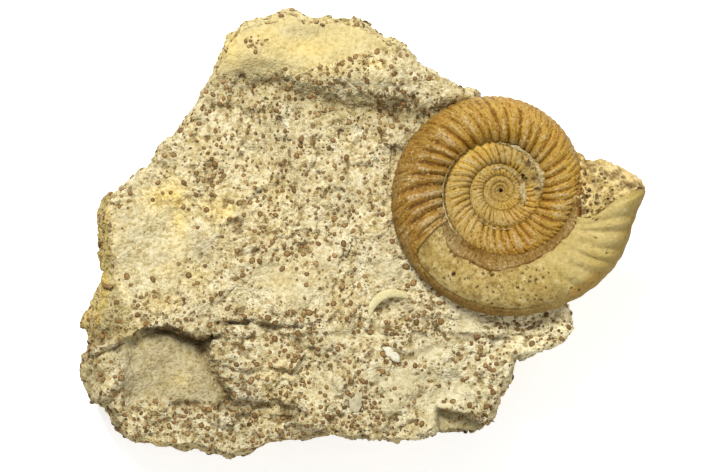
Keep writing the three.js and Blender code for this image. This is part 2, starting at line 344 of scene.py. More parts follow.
def mix_colours(tree, mask, first, second, how="MIX"):
    """A Mix node's colour: the first where the mask is 0 and the second where it is 1."""
    return add_node(tree, "Mix", {0: mask, 6: first, 7: second}, data_type="RGBA", blend_type=how).outputs[2]


def spread(tree, value, low, high, to_low=0.0, to_high=1.0):
    """A smooth Map Range from low..high to the given limits."""
    limits = {"Value": value, "From Min": low, "From Max": high, "To Min": to_low, "To Max": to_high}
    return add_node(tree, "MapRange", limits, interpolation_type="SMOOTHSTEP").outputs[0]


def maths(tree, how, first, second):
    """A Math node's result: the named operation on two numbers or sockets."""
    return add_node(tree, "Math", {0: first, 1: second}, operation=how).outputs[0]


def noise(tree, place, scale, detail, roughness=0.5):
    """A Noise Texture's value, around 0.5: scale in waves a metre, and detail as the number of finer ones."""
    settings = {"Vector": place, "Scale": scale, "Detail": detail, "Roughness": roughness}
    return add_node(tree, "TexNoise", settings).outputs[0]


def tinted(tree, colour, *factor):
    """The colour multiplied by a factor each for red, green and blue."""
    return mix_colours(tree, 1.0, colour, (*factor, 1), "MULTIPLY")


def new_material(name):
    """A material, its node tree, and the socket that gives the piece's own tint."""
    material = bpy.data.materials.new(name)
    material.use_nodes = True
    tree = material.node_tree
    return material, tree, add_node(tree, "Attribute", attribute_name="tint").outputs["Color"]


def finish_material(tree, colour, roughness, height, relief, specular, strength=1.0):
    """Joins colour, roughness and a bump as deep as the relief, in metres, to the tree's surface shader."""
    bump = add_node(tree, "Bump", {"Strength": strength, "Distance": relief, "Height": height}).outputs[0]
    shader = tree.nodes["Principled BSDF"]
    shader.inputs["Specular IOR Level"].default_value = specular
    for key, socket in (("Base Color", colour), ("Roughness", roughness), ("Normal", bump)):
        tree.links.new(socket, shader.inputs[key])


def new_group(name, inputs, outputs):
    """An empty shader node group with named sockets: (name, type, default) in and (name, type) out."""
    group = bpy.data.node_groups.new(name, "ShaderNodeTree")
    for label, kind, default in inputs:
        socket = group.interface.new_socket(label, in_out="INPUT", socket_type="NodeSocket" + kind)
        socket.default_value = default
    for label, kind in outputs:
        group.interface.new_socket(label, in_out="OUTPUT", socket_type="NodeSocket" + kind)
    return group, group.nodes.new("NodeGroupInput").outputs, group.nodes.new("NodeGroupOutput").inputs


def make_stone_grain():
    """Grain of a sedimentary stone: uneven rounded grains, mottling, and pits where ooids fell out, darkened
    with painted shade.
    """
    shares = {"Mottle": 0.3, "Pale": 0.5, "Grains": 0.5, "Pits": 0.5, "Grain Size": 0.8}
    tree, given, result = new_group(
        "stone_grain",
        [("Colour", "Color", (1, 1, 1, 1))] + [(key, "Float", value) for key, value in shares.items()],
        [("Colour", "Color"), ("Height", "Float"), ("Roughness", "Float")],
    )
    place = add_node(tree, "TexCoord").outputs["Object"]
    broad, fine = noise(tree, place, 420, 4, 0.65), noise(tree, place, 1500, 3, 0.7)
    patchy = noise(tree, place, 170, 2)
    warp = add_node(tree, "TexNoise", {"Vector": place, "Scale": 900, "Detail": 1}).outputs["Color"]
    warp = add_node(tree, "VectorMath", {0: warp, 3: 0.0006}, operation="SCALE").outputs[0]
    warped = add_node(tree, "VectorMath", {0: place, 1: warp}, operation="ADD").outputs[0]
    scale = maths(tree, "DIVIDE", 1000.0, given["Grain Size"])
    cells = add_node(tree, "TexVoronoi", {"Vector": warped, "Scale": scale})
    tone = add_node(tree, "SeparateColor", {0: cells.outputs["Color"]}).outputs[0]
    round_top = spread(tree, cells.outputs["Distance"], 0.65, 0.1)
    hollow = None
    for size, least in ((1.9, 0.55), (1.05, 0.42), (0.6, 0.5)):
        pits = add_node(tree, "TexVoronoi", {"Vector": warped, "Scale": maths(tree, "DIVIDE", scale, size)})
        pick = add_node(tree, "SeparateColor", {0: pits.outputs["Color"]})
        reach = spread(tree, pick.outputs[1], least, 1.0, 0.0, 0.42)
        inside = spread(tree, maths(tree, "SUBTRACT", reach, pits.outputs["Distance"]), 0.0, 0.12)
        hollow = inside if hollow is None else maths(tree, "MAXIMUM", hollow, inside)
    hollow = maths(tree, "MULTIPLY", hollow, spread(tree, patchy, 0.32, 0.56))
    colour = given["Colour"]
    for mask, strength, factor in (
        (spread(tree, broad, 0.54, 0.3), "Mottle", (0.6, 0.52, 0.36)),
        (spread(tree, tone, 0.45, 0.1), "Grains", (0.62, 0.52, 0.3)),
        (spread(tree, tone, 0.6, 0.95), "Pale", (1.2, 1.23, 1.36)),
        (spread(tree, fine, 0.46, 0.3), "Mottle", (0.38, 0.3, 0.16)),
        (spread(tree, fine, 0.52, 0.7), "Pale", (1.16, 1.18, 1.28)),
        # painted shade in the pits
        (hollow, "Pits", (0.19, 0.115, 0.035)),
    ):
        mask = maths(tree, "MULTIPLY", mask, given[strength])
        colour = mix_colours(tree, mask, colour, tinted(tree, given["Colour"], *factor))
    tops = maths(tree, "MULTIPLY", round_top, maths(tree, "MULTIPLY", given["Grains"], 0.6))
    relief = maths(tree, "ADD", maths(tree, "ADD", broad, maths(tree, "MULTIPLY", fine, 0.4)), tops)
    relief = maths(tree, "SUBTRACT", relief, maths(tree, "MULTIPLY", hollow, given["Pits"]))
    roughness = spread(tree, fine, 0.3, 0.7, 0.95, 0.75)
    for key, socket in (("Colour", colour), ("Height", relief), ("Roughness", roughness)):
        tree.links.new(socket, result[key])
    return tree


stone_grain = make_stone_grain()


def stone_material(name, mottle, pale, grains, grain_size, relief, specular):
    """A stone: broad colour from the piece's tint, and grain from the group where it isn't bare."""
    material, tree, tint = new_material(name)
    bare, pitted = (
        add_node(tree, "Attribute", attribute_name=key).outputs["Fac"] for key in ("bare", "pitted")
    )
    grain = add_node(tree, "Group", {"Colour": tint, "Pits": pitted, "Grain Size": grain_size},
                     node_tree=stone_grain)
    for key, value in {"Mottle": mottle, "Pale": pale, "Grains": grains}.items():
        tree.links.new(spread(tree, bare, 0.0, 1.0, value, 0.5 * value), grain.inputs[key])
    colour, height, roughness = grain.outputs
    finish_material(tree, colour, roughness, height, relief * 0.001, specular)
    return material


def make_block():
    """Top: the face on a wrapped grid. Flank: a quarter wave, shoulder to rim. Skirt: one to the base."""

    def out_at(radius):
        """The x and y at that distance from the block's centre."""
        return BLOCK_CENTRE[0] + radius * np.cos(angle), BLOCK_CENTRE[1] + radius * np.sin(angle)

    share, angle = disc_grid(FACE_CELLS)
    share, angle = share.ravel(), angle.ravel()
    radius = rim_radius(angle)
    x, y = out_at(radius)
    radius = radius - 1.8 * hill(x, y, 47, -13.8, 2.2, 2.0)  # the corner that is broken off below the mould
    shoulder = radius - flank_width(x, y)
    foot = radius - BASE_INSET
    x, y = out_at(share * shoulder)
    points = [np.c_[x, y, face_level(x, y)]]
    top = np.arange(len(x)).reshape(FACE_CELLS + 1, -1)
    loop = np.concatenate([top[:-1, 0], top[-1, :-1], top[:0:-1, -1], top[0, :0:-1]])
    ring = np.array([np.cos(angle[loop]), np.sin(angle[loop])]).T
    height = points[0][loop, 2]
    for row in range(1, FLANK_ROWS + SKIRT_ROWS + 1):
        if row <= FLANK_ROWS:
            turn = np.pi / 2 * row / FLANK_ROWS
            out = shoulder[loop] + (radius - shoulder)[loop] * np.sin(turn) ** 0.8
            level = RIM_HEIGHT + (height - RIM_HEIGHT) * abs(np.cos(turn)) ** 1.1
        else:
            turn = np.pi / 2 * (row - FLANK_ROWS) / SKIRT_ROWS
            out = foot[loop] + (radius - foot)[loop] * np.cos(turn)
            level = RIM_HEIGHT * (1 - np.sin(turn)) + 0 * out
        points.append(np.c_[BLOCK_CENTRE + ring * out[:, None], level])
    points.append([[*BLOCK_CENTRE, 0.0]])
    points = np.concatenate(points)
    rings = [loop] + [len(x) + len(loop) * i + np.arange(len(loop)) for i in range(FLANK_ROWS + SKIRT_ROWS)]
    sides = grid_faces(np.array([np.r_[r, r[0]] for r in rings]))
    faces = np.concatenate([grid_faces(top), sides])
    last = rings[-1]
    base = np.c_[np.roll(last, -1), last, np.full(len(last), len(points) - 1)]
    return points, faces, base


def roughen(points, faces):
    """Moves the points along their normals: broad chips, lumps and grit, all fading out at the flat base."""
    x, y = points[:, 0], points[:, 1]
    face = np.arange(len(points)) < (FACE_CELLS + 1) ** 2
    bare = bare_stone(x, y) * face
    hidden = ease(coil_edge(x, y), -1.5, 0.8)
    side = np.where(face, 0, 1 - ease(points[:, 2], 18, 25))
    normals = point_normals(points, faces)
    broken = 1 - 0.85 * bare
    shift = broken * (0.3 - 0.05 * side) * chips(points * [1, 1, 1.6], 5.5, 0.3, 5)
    grit = (0.38 * rough(points, 2.8, 3, 31) + 0.24 * rough(points, 1.05, 2, 47)) * (1 - 0.25 * side)
    pits = -0.65 * ease(lattice_noise(points, 1.3, 71), 0.3, 0.75)
    shift += (0.12 + 0.88 * broken) * grit + broken * pits + 0.3 * bare * rough(points * [1, 2, 1], 7, 3, 83)
    left = ease(-x, 50, 56)
    shift += side * (0.8 * rough(points, 9, 3, 11) - 0.9) * (1 - 0.55 * left)
    clear = 1 - np.exp(-(((points[:, 2] - RIM_HEIGHT) / 2.6) ** 2))
    beds = ease(rough(points * [0.18, 0.18, 1], 4.2, 2, 303), -0.06, 0.06)
    shift -= side * clear * (1.5 * beds + 0.7 * np.clip(chips(points, 12, 0.35, 15), -1.2, 2.4))
    shift *= hidden * ease(points[:, 2], 0.2, 4)
    moved = points + normals * shift[:, None]
    moved[:, 2] = np.maximum(moved[:, 2], 0)
    return moved, bare, grit + pits


def block_colours(points, bare, relief):
    """Cream, with the real face's stains and greys, painted shade in its hollows and painted light by the
    coil.
    """
    x, y = points[:, 0], points[:, 1]
    upper = np.where(np.arange(len(points)) < (FACE_CELLS + 1) ** 2, 1, ease(points[:, 2], 21, 26))
    wander = rough(points, 14, 3, 91)
    cloud = rough(points, 3.2, 3, 97)
    speckle = rough(points, 1.1, 2, 99)
    bedding = rough(points * [0.16, 0.16, 1], 3.6, 2, 103)
    lower = ease(-y, 18, 26)
    foot = near_line(x, y, SHELF_FOOT, 4.5) * upper
    light_near_coil = np.exp(-((np.maximum(coil_edge(x, y), 0) / 3.5) ** 2))
    shade_under_shelf = near_line(x, y, SHELF_FOOT[2:7], 1.7) * upper
    facet = ease(along(x, LEDGE) - y, 0, 1) * in_facet(x, y) * upper
    notch = ease(along(x, NOTCH) - y, -0.2, 0.5) * ease(x, 15.6, 17) * ease(-x, -29.5, -27)
    crack, second = below_ledge(x, y)
    beyond, in_mustard = (np.interp(y, *np.array(edge).T) - x for edge in (LEFT_EDGE, MUSTARD_EDGE))
    above_ledge = ease(y - along(x, LEDGE), -1, 0) * ease(-y, -14, -9)
    pale_lip = ease(beyond, -1.6, -0.6) * ease(-beyond, -0.4, 0.2) * ease(y, -26, -20) * ease(-y, -13, -9)
    on_shelf = ease(y - along(x, SMOOTH_EDGE), -2, 1)
    groove_shade = sum(near_line(x, y, line, 1.3 * width) for line, width, _ in GROOVES[:5])
    ochre = hills(x, y, [
        (-43.5, 9.5, 4.5, 4, 0.8), (-40, 5, 2, 5, 0.7), (-31.4, 6, 3.6, 2.4, 0.9), (-12, 41.5, 7, 2, 0.5),
        (-29, 41, 3, 4, 0.5), (-20, 44, 5, 1.6, 0.4), (-43, -5, 2.4, 3, 0.5), (-37, -9, 2.4, 2, 0.5),
        (-8, 36.5, 6, 2, 0.4), (2, 38, 4, 2, 0.4), (-44.5, -14.5, 4, 2, 0.5), (-40, -31.5, 2, 1.6, 0.35),
    ])
    grey = hills(x, y, [
        (-43.5, -4.6, 2.2, 1.8, 0.7), (-35, -2.6, 2.6, 3, 0.6), (-47, 12.5, 3, 2, 0.5),
        (-14, 45, 5, 1.4, 0.5), (-27, 32.8, 4, 1.2, 0.5), (-26.5, -33, 4, 4, 0.4), (-52, -30, 3, 6, 0.4),
    ])
    chalk = hills(x, y, [
        (5.7, -7.4, 3, 2.6), (8.2, -31.4, 7, 2.8), (20.6, -34.7, 5, 3.4), (23, -19.7, 4, 2.6),
        (14.6, -25.2, 6, 2.4), (-8, -34.2, 5, 2.4), (-50, 6, 4, 4), (-40, 12, 4, 3), (-24.5, -9.5, 3, 1.6),
    ])
    return blend_colours(
        (224, 209, 163),
        (0.4 * lower, (218, 207, 166)),
        (0.8 * hill(x, y, 28, -27, 13, 8), (236, 225, 184)),
        (0.45 * bare, (204, 192, 147)),
        (0.45 * ease(wander, 0.1, 0.8), (230, 210, 150)),
        (0.4 * ease(-wander, 0.1, 0.8), (200, 190, 152)),
        (0.35 * ease(cloud, 0.1, 0.6), (234, 226, 190)),
        (0.3 * ease(-cloud, 0.1, 0.6), (190, 170, 116)),
        (0.25 * ease(speckle, 0.2, 0.8), (238, 230, 196)),
        (0.3 * ease(-speckle, 0.2, 0.8), (170, 146, 84)),
        (0.85 * on_shelf * (1 - 0.3 * ease(cloud, -0.2, 0.6)), (212, 194, 134)),
        (0.4 * chalk * (0.7 + 0.5 * wander), (226, 216, 178)),
        # painted shade: grey along the foot of the shelf, where the face steps down
        (0.5 * foot, (180, 166, 118)),
        (facet, (186, 172, 130)),
        (0.5 * facet * ease(cloud, 0.1, 0.6), (206, 190, 142)),
        # painted light: the stone just below the coil is lightened where the coil's shadow falls
        (0.6 * light_near_coil * ease(-y, 4, 12), (244, 232, 190)),
        (ochre * (0.85 + 0.5 * cloud), (243, 215, 130)),
        (grey * (0.8 + 0.4 * cloud), (182, 174, 148)),
        (0.7 * pale_lip, (232, 214, 158)),
        (0.8 * ease(beyond, -0.2, 0.8) * above_ledge, (186, 170, 116)),
        (0.85 * ease(in_mustard, -0.6, 0.6) * above_ledge * (0.85 + 0.5 * cloud), (202, 176, 94)),
        (0.6 * (1 - upper), (206, 184, 122)),
        (0.6 * (1 - upper) * ease(bedding, 0.05, 0.45), (186, 170, 124)),
        (0.5 * (1 - upper) * ease(-bedding, 0.2, 0.6), (196, 158, 84)),
        (0.6 * ease(-x, 55, 60) * ease(-y, 26, 32), (186, 176, 134)),
        # painted light on the ledge right of the coil, lightening the coil's shadow there
        (hill(x, y, 41, -20.5, 9, 4.5), (262, 247, 196)),
        # painted shade in the dark band under the shelf's step
        (0.6 * shade_under_shelf * ease(cloud, -0.6, 0.5), (124, 108, 66)),
        # painted shade in the grooves
        (0.6 * groove_shade * ease(cloud, -0.6, 0.3), (112, 88, 40)),
        # painted shade in the hollow below the notch, darkest just under its lip
        (0.75 * notch, (168, 154, 108)),
        (0.6 * near_line(x, y, NOTCH[1:], 0.8) * notch, (96, 76, 34)),
        # painted shade in the furrow under the bivalve
        (0.7 * under_bivalve(x, y, 1.0), (176, 166, 132)),
        # painted shade in the valley at the facet's right edge
        (0.7 * near_line(x, y, FACET_EDGE, 1.1) * upper, (140, 118, 70)),
        # painted shade in the low points of the grit and pits
        (0.75 * ease(-relief, 0.2, 0.8) * (1 - 0.85 * bare), (112, 84, 34)),
        # painted shade in the cracks under the two ledges
        (0.9 * crack * upper, (78, 57, 20)),
        (0.8 * second * upper * ease(cloud, -0.6, 0.25), (74, 54, 20)),
    )


def block_pits(points, bare):
    """How thickly the face is pitted: more at the shelf's foot, along the cracks and on the broken sides."""
    x, y = points[:, 0], points[:, 1]
    side = 1 - ease(points[:, 2], 18, 26)
    crowd = 0.55 + 0.5 * rough(points, 8, 2, 101) + 0.3 * side + 0.35 * ease(-y, 28, 36)
    lines = ((0.6, SHELF_FOOT, 3.5), (0.4, LEDGE[2:], 2), (0.4, SECOND_LEDGE, 2))
    crowd += sum(strength * near_line(x, y, line, width) for strength, line, width in lines)
    return np.clip(crowd * (1 - 0.93 * bare), 0, 1)


limestone = stone_material("iron-oolite limestone", mottle=0.55, pale=0.5, grains=0.7, grain_size=0.7,
                           relief=0.42, specular=0.15)
block_points, block_faces, block_base = make_block()
block_points, block_bare, block_relief = roughen(block_points, block_faces)
block_piece = make_piece(
    "limestone_block_rough",
    block_points,
    [block_faces, block_base],
    limestone,
    block_colours(block_points, block_bare, block_relief),
    {
        "bare": block_bare * (1 - 0.7 * in_facet(*block_points[:, :2].T)),
        "pitted": block_pits(block_points, block_bare),
    },
)
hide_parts("limestone_block")
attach(block_piece, "root")

# ------------------------------------------------------------------ the iron ooids
# Round grains of iron minerals, about a millimetre across, that rolled on the sea bed and were cemented into
# the lime mud. Each stands half out of the stone, flattened, with painted shade as a dark rim round its foot.

OOID_COUNTS = {"face_ooids": 3000, "side_ooids": 2300}  # tries, before overlapping ones are dropped
OOID_RADIUS = 0.38
OOID_SIDES = 8


def ooid_density(points, bare):
    """More ooids in the middle and in a few clusters, and next to none on bare stone."""
    x, y = points[:, :2].T
    crowd = 0.5 + 0.8 * ease(rough(points, 9, 2, 131), -0.5, 0.6) + 0.4 * ease(-y, 18, 24)
    crowd *= 0.5 + 1.1 * ease(lattice_noise(points, 3, 141), -0.2, 0.6)
    clusters = hills(x, y, [
        (9.5, -19.6, 5, 2.6), (-41, -39.2, 4.2, 2.4), (-23.5, 42.2, 2.6, 1), (2.4, -35, 3, 4),
        (36, -20.6, 5, 2.5), (-35, 10.5, 2.5, 1.5),
    ])
    return crowd * (1 - bare) ** 1.5 + 2.2 * clusters


def uneven_sizes(count, middle, uneven, least, most, rng):
    """Sizes round a middle one: the middle times e to a random number of that spread, kept within limits."""
    return np.clip(middle * np.exp(rng.normal(0, uneven, count)), least, most)


def scatter_ooids(count, on_face, rng):
    """Points drawn over the block's faces by area and density, thinned so that no two stand in one place."""
    quads = block_points[block_faces]
    middle = quads.mean(1)
    across = np.cross(quads[:, 2] - quads[:, 0], quads[:, 3] - quads[:, 1])
    area = np.linalg.norm(across, axis=1)
    open_air = (coil_edge(middle[:, 0], middle[:, 1]) > 0.5) | (middle[:, 2] < 20)
    chance = area * ooid_density(middle, block_bare[block_faces].mean(1)) * open_air * (middle[:, 2] > 1.2)
    chance *= on_face == (np.arange(len(quads)) < FACE_CELLS**2)
    chosen = rng.choice(len(quads), count, p=chance / chance.sum())
    u, v = rng.random((2, count, 1))
    q = quads[chosen]
    place = (q[:, 0] * (1 - u) + q[:, 1] * u) * (1 - v) + (q[:, 3] * (1 - u) + q[:, 2] * u) * v
    up = across[chosen] / area[chosen, None]
    radius = uneven_sizes(count, OOID_RADIUS, 0.4, 0.17, 0.74, rng)
    keep = np.ones(count, bool)
    for first in range(0, count, 500):
        part = slice(first, first + 500)
        apart = np.linalg.norm(place[part, None] - place, axis=2)
        reach = 0.85 * (radius[part, None] + radius)
        earlier = np.arange(count) < np.arange(first, first + len(apart))[:, None]
        keep[part] = ~((apart < reach) & earlier).any(1)
    return place[keep], up[keep], radius[keep], block_faces[chosen[keep]]


def make_ooids(place, up, radius, rng):
    """Each ooid is a flattened ball from rings at fixed latitudes, turned so that it lies on the stone."""
    count = len(place)
    helper = np.where(abs(up[:, 2:]) < 0.8, [[0, 0, 1]], [[1, 0, 0]])
    side = np.cross(up, helper)
    side /= np.linalg.norm(side, axis=1, keepdims=True)
    spin = rng.uniform(0, np.pi, (count, 1))
    side = side * np.cos(spin) + np.cross(up, side) * np.sin(spin)
    other = np.cross(up, side)
    long = rng.uniform(1.0, 1.35, (count, 1)) * radius[:, None]
    flat = rng.uniform(0.45, 0.7, (count, 1)) * radius[:, None]
    latitude = np.radians([52, 15, -30])
    turn = 2 * np.pi * np.arange(OOID_SIDES) / OOID_SIDES
    ball = [np.array([[0, 0, 1.0]])]
    ball += [
        np.c_[np.cos(a) * np.cos(turn), np.cos(a) * np.sin(turn), 0 * turn + np.sin(a)] for a in latitude
    ]
    ball += [np.array([[0, 0, -0.8]])]
    ball = np.concatenate(ball)

    def stretch(axis, size, part):
        """The ball's own coordinate carried along each ooid's axis by its size."""
        return (axis * size)[:, None, :] * part[None, :, None]

    points = place[:, None, :] + stretch(side, long, ball[:, 0])
    points = points + stretch(other, radius[:, None], ball[:, 1]) + stretch(up, flat, ball[:, 2])
    sunk = up * flat * rng.uniform(-0.5, -0.05, (count, 1))
    points = points + sunk[:, None, :]
    rows = 1 + np.arange(len(latitude) * OOID_SIDES).reshape(-1, OOID_SIDES)
    rows = np.c_[rows, rows[:, 0]]
    cap = np.c_[np.zeros(OOID_SIDES, int), rows[0, :-1], rows[0, 1:]]
    bottom = np.c_[np.full(OOID_SIDES, len(ball) - 1), rows[-1, 1:], rows[-1, :-1]]
    offset = (np.arange(count) * len(ball))[:, None, None]
    faces = [(part + offset).reshape(-1, part.shape[1]) for part in (grid_faces(rows), cap, bottom)]
    # painted shade: the ooid darkens towards its foot, where it meets the stone
    rim = np.tile(ease(0.7 - ball[:, 2], 0.0, 0.6), count)
    tone, warm = (np.repeat(values, len(ball)) for values in rng.random((2, count)))
    colour = blend_colours(
        (154, 121, 72),
        (0.85 * ease(tone, 0.4, 1.0), (114, 86, 46)),
        (0.7 * ease(-tone, -0.35, 0.0), (182, 154, 104)),
        (0.3 * warm, (160, 114, 60)),
        (0.8 * np.repeat(ease(-radius, -0.36, -0.24), len(ball)), (104, 80, 38)),
        (0.9 * rim, (84, 58, 20)),
    )
    return points.reshape(-1, 3), faces, colour


def ooid_material():
    """Brown iron mineral with a satin skin: fine mottling over the grain's own tint."""
    material, tree, tint = new_material("iron ooids")
    mottle = noise(tree, add_node(tree, "TexCoord").outputs["Object"], 2600, 3)
    dark, pale = tinted(tree, tint, 0.64, 0.6, 0.54), tinted(tree, tint, 1.14, 1.14, 1.1)
    colour = mix_colours(tree, spread(tree, mottle, 0.35, 0.65), dark, pale)
    finish_material(tree, colour, spread(tree, mottle, 0.3, 0.7, 0.4, 0.65), mottle, 0.0001, 0.25,
                    strength=0.6)
    return material


def shade_round_ooids(squares, radius, colour, rng):
    """Paints shade on the block round each ooid: darkens it at the corners of the squares that hold one, the
    more the larger it is.
    """
    tint = block_piece.data.color_attributes["tint"].data
    shades = np.zeros(4 * len(block_points))
    tint.foreach_get("color", shades)
    shades = shades.reshape(-1, 4)
    painted_shade = np.zeros(len(block_points))
    strength = np.clip(radius / 0.5, 0.4, 1) * rng.uniform(0.15, 0.7, len(radius))
    np.maximum.at(painted_shade, squares.ravel(), np.repeat(strength, 4))
    shades[:, :3] += painted_shade[:, None] * (colour - shades[:, :3])
    tint.foreach_set("color", shades.ravel())


ooid_iron = ooid_material()
ooid_draws = np.random.default_rng(3)
for name, count in OOID_COUNTS.items():
    *spots, squares = scatter_ooids(count, name == "face_ooids", ooid_draws)
    ooid_points, ooid_faces, ooid_colours = make_ooids(*spots, ooid_draws)
    ooids = make_piece(name, ooid_points, ooid_faces, ooid_iron, ooid_colours)
    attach(ooids, "root")
    # painted shade on the block round each ooid
    shade_round_ooids(squares, spots[2], paint(140, 112, 60), ooid_draws)

# ------------------------------------------------------------------ the ammonite's shell
# The animal's own shell, replaced by brown calcite. It coils outwards in one plane and carries strong ribs
# that lean forward and fork near the outer edge. It is worn pale on the ribs and broken off in the last
# whorl.

RIBS_PER_TURN = 38
RIB_LEAN = 11.0  # degrees by which the outer end of a rib leads
SHELL_END = 210.0
SHELL_TURNS = 6.6
SHELL_THICKNESS = 0.35
SECTION_POINTS = 56


def outward_share(around):
    """How far up the whorl a point of its section lies: 0 at the inner edge and 1 at the outer."""
    return (1 + np.cos(around)) / 2


def lean(outward):
    """How many degrees a rib leads: the full lean times the share of the whorl's height to the 1.7."""
    return RIB_LEAN * outward**1.7


def whorl_point(angle, around, lift):
    """A point on the coil: a leaning superellipse on a radius that grows 1.8 times a turn."""
    outward = outward_share(around)
    here = angle + lean(outward)
    outer = outer_radius(here)
    high, wide = outer * (1 - INNER_SHARE) / 2, outer * HALF_WIDTH_SHARE
    curve = lambda wave: np.sign(wave) * abs(wave) ** (2 / SECTION_POWER)
    radius = outer - high + curve(np.cos(around)) * (high + lift)
    up = curve(np.sin(around)) * (wide + lift)
    turn = np.radians(here)
    x, y = COIL_CENTRE[0] + radius * np.cos(turn), COIL_CENTRE[1] + radius * np.sin(turn)
    return np.stack([x, y, COIL_LEVEL + up], -1)


def rib_wave(angle, around, forked, sharpness=0.5):
    """Rib relief from -1 to 1: one wave a rib near the inner edge, and two a rib where the ribs have
    forked. The wave is a cosine from 0 to 1 raised to the sharpness: 1 gives even folds, and less gives
    round ribs with narrow grooves."""
    outward = outward_share(around)
    wobble = 0.12 * np.sin(np.radians(angle) * 7) + 0.1 * np.sin(np.radians(angle) * 17 + 1)
    phase = 2 * np.pi * (RIBS_PER_TURN * angle / 360 + wobble)
    fork = ease(outward, 0.6, 0.76) * forked
    first = 2 * ((1 + np.cos(phase)) / 2) ** sharpness - 1
    second = 0.55 * (2 * ((1 - np.cos(2 * phase)) / 2) ** 0.6 - 1)
    fade = ease(outward, 0.0, 0.1) * (1 - 0.45 * ease(outward, 0.8, 1.0))
    return fade * (first * (1 - fork) + second * fork)


def closed_tube(rings):
    """Points and faces of a sweep of equal rings: each is joined into a loop, with a fan at both ends."""
    steps, sides, _ = rings.shape
    index = np.arange(steps * sides).reshape(steps, sides)
    start = np.c_[np.full(sides, index.size), index[0], np.roll(index[0], -1)]
    end = np.c_[np.full(sides, index.size + 1), np.roll(index[-1], -1), index[-1]]
    points = np.concatenate([rings.reshape(-1, 3), rings[[0, -1]].mean(1)])
    return points, [grid_faces(np.c_[index, index[:, 0]]), start, end]


def sweep(angles, sides, lift_at):
    """A coil from rings at the given angles. lift_at(angle, around) is how far the surface stands out."""
    angle, around = np.meshgrid(angles, 2 * np.pi * np.arange(sides) / sides, indexing="ij")
    angle, lift = lift_at(angle, around)
    return *closed_tube(whorl_point(angle, around, lift)), angle, around


def in_fill(points, angle):
    """Where the rock that filled the navel still covers the second whorl, between its two crusts: 1 inside a
    ragged edge, where the highest of three bells and some noise together pass a half."""
    spots = [(36.6, 13.4, 2.6, 3.0), (38.6, 10.2, 1.6, 2.4), (34.8, 16.8, 1.7, 1.5)]
    between = np.maximum.reduce([hill(points[..., 0], points[..., 1], *spot) for spot in spots])
    return ease(between + 0.35 * rough(points, 1.8, 3, 351), 0.42, 0.62) * ease(SHELL_END - angle, 300, 350)


def shell_lift(angle, around):
    """Ribs on every whorl, growing with it, but buried under the fill, out to a ragged break."""
    points = whorl_point(angle, around, 0)
    fill = in_fill(points, angle)
    last = ease(angle, SHELL_END - 10, SHELL_END)
    ragged = 1.6 * rough(points, 5, 3, 7) - 1.5 + 14 * ease(outward_share(around), 0.78, 1.0)
    angle = angle + last * ragged
    wave = rib_wave(angle, around, 1.0)
    size = 0.019 * outer_radius(angle) * ease(angle, SHELL_END - 360 * 5.5, SHELL_END - 360 * 4)
    wear = 0.05 * rough(points, 1.6, 3, 9) * outer_radius(angle) / 25
    lumps = 0.12 + 0.3 * rough(points, 1.1, 3, 353) - 0.5 * ease(lattice_noise(points, 0.75, 357), 0.25, 0.65)
    return angle, size * wave * (1 - 0.9 * fill) + wear + fill * lumps


def lift_of_mould(angle, around):
    """The same coil drawn in by the shell's thickness, its ribs weak at first and broad near the mouth."""
    points = whorl_point(angle, around, 0)
    outward = outward_share(around)
    wave = rib_wave(angle * 1.12, around, 0.0, 0.85)
    broad = 0.0095 * ease(angle, 268, 325) * ease(outward, 0.2, 0.6)
    broad = broad * (1 - 0.7 * ease(outward, 0.86, 1)) + 0.0025
    uneven = 0.16 * rough(points, 5, 3, 19) + 0.07 * rough(points, 1.3, 2, 23)
    rounded = -2.4 * ease(angle, MOULD_END - 2.2, MOULD_END) ** 2
    edge_shell = 0.28 * ease(outward, 0.872, 0.888) * (1 - ease(angle, 252, 285))
    rounded = rounded + edge_shell
    rounded = rounded - 1.0 * ease(outward, 0.55, 0.95) * ease(angle, 318, 336) * (1 - ease(angle, 338, 350))
    lift = -SHELL_THICKNESS + wave * outer_radius(angle) * broad + uneven + rounded
    short = ease(angle, MOULD_END - 24, MOULD_END) * (1 - ease(outward, 0.25, 0.62))
    return angle - 8.5 * short, lift


def coil_uv(angle, around, extra=2):
    """A map that follows the coil: along it in ribs, and round the section from 0 to 1."""
    flat = np.c_[(RIBS_PER_TURN * angle / 360).ravel(), (around / (2 * np.pi)).ravel()]
    return np.concatenate([flat, flat[:1].repeat(extra, 0)])


